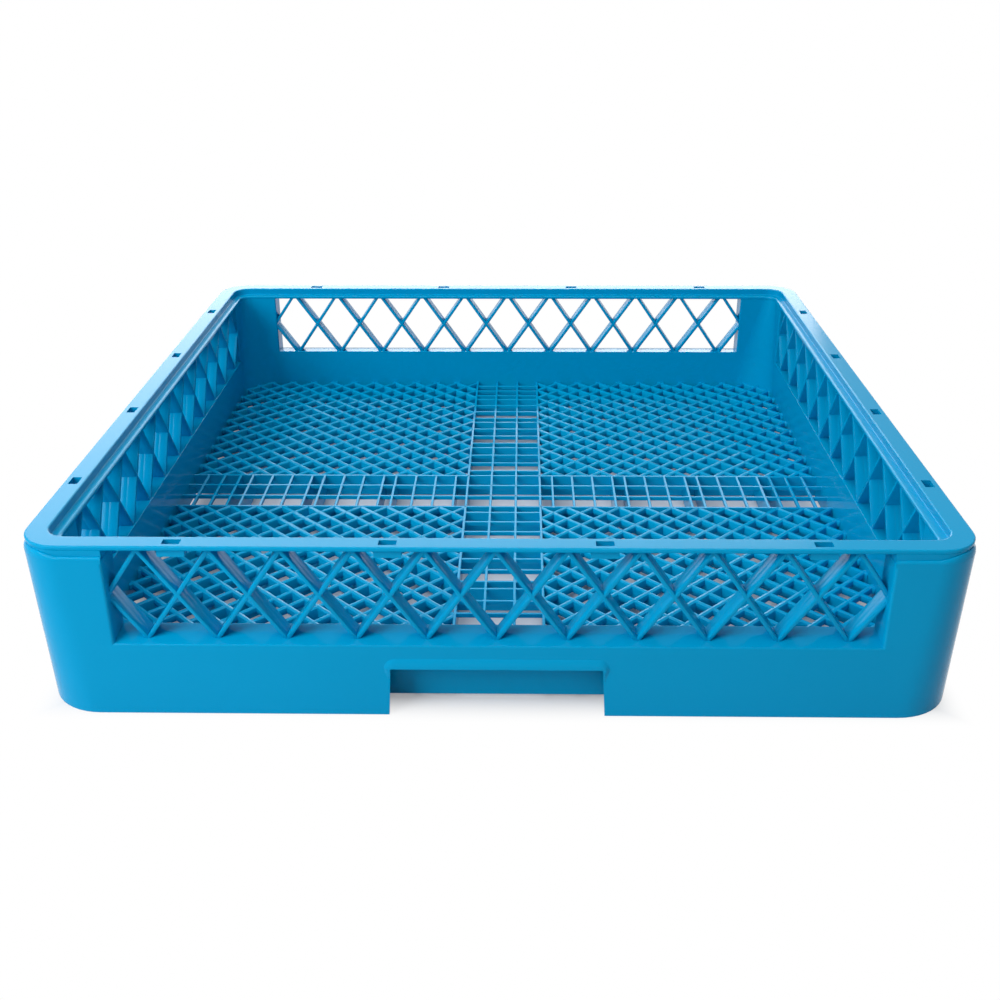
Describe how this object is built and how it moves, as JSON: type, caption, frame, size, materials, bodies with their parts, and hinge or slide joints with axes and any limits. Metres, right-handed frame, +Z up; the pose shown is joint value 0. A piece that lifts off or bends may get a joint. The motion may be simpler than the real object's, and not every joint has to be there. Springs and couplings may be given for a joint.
{
  "type": "dishwasher cutlery rack",
  "caption": "Low square open rack for washing cutlery, with a mesh base, lattice windows in its walls, a slotted rim and hand notches.",
  "frame": {"origin": "centre of the footprint, at the lower edge of the skirt", "axes": "+Z up, X and Y along the sides of the square"},
  "size_m": [0.5028, 0.5028, 0.102],
  "materials": {
    "blue_plastic": "semi-gloss moulded polypropylene"
  },
  "bodies": {
    "root": {"rack": "blue_plastic"}
  },
  "joints": []
}
